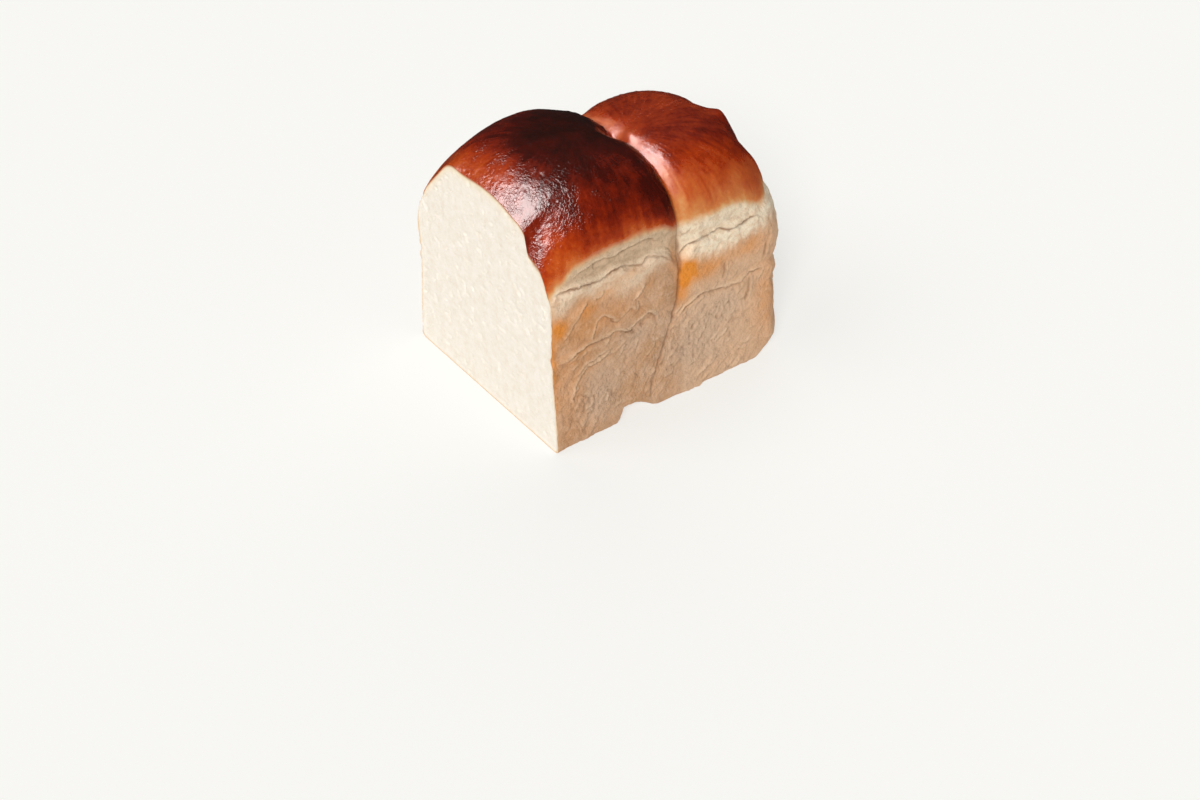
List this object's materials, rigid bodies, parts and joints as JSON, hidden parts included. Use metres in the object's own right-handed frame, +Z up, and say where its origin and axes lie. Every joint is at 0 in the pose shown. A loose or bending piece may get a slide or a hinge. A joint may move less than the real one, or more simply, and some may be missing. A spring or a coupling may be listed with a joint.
{
  "type": "brioche loaf",
  "caption": "Pan-baked brioche loaf, cut flat across one end, with two glazed round humps, a side seam and pale creased walls.",
  "frame": {"origin": "centre of the box round the loaf, at the underside it rests on", "axes": "+X runs from the cut face to the far end, +Y across the loaf, +Z up"},
  "size_m": [0.1554, 0.1304, 0.1506],
  "materials": {
    "crust": "baked crust: glossy dark red-brown glaze on the humps, matt tan and cream walls",
    "crumb": "matt off-white crumb with fine pores on the cut face"
  },
  "bodies": {
    "root": {"loaf": "crust"}
  },
  "joints": []
}
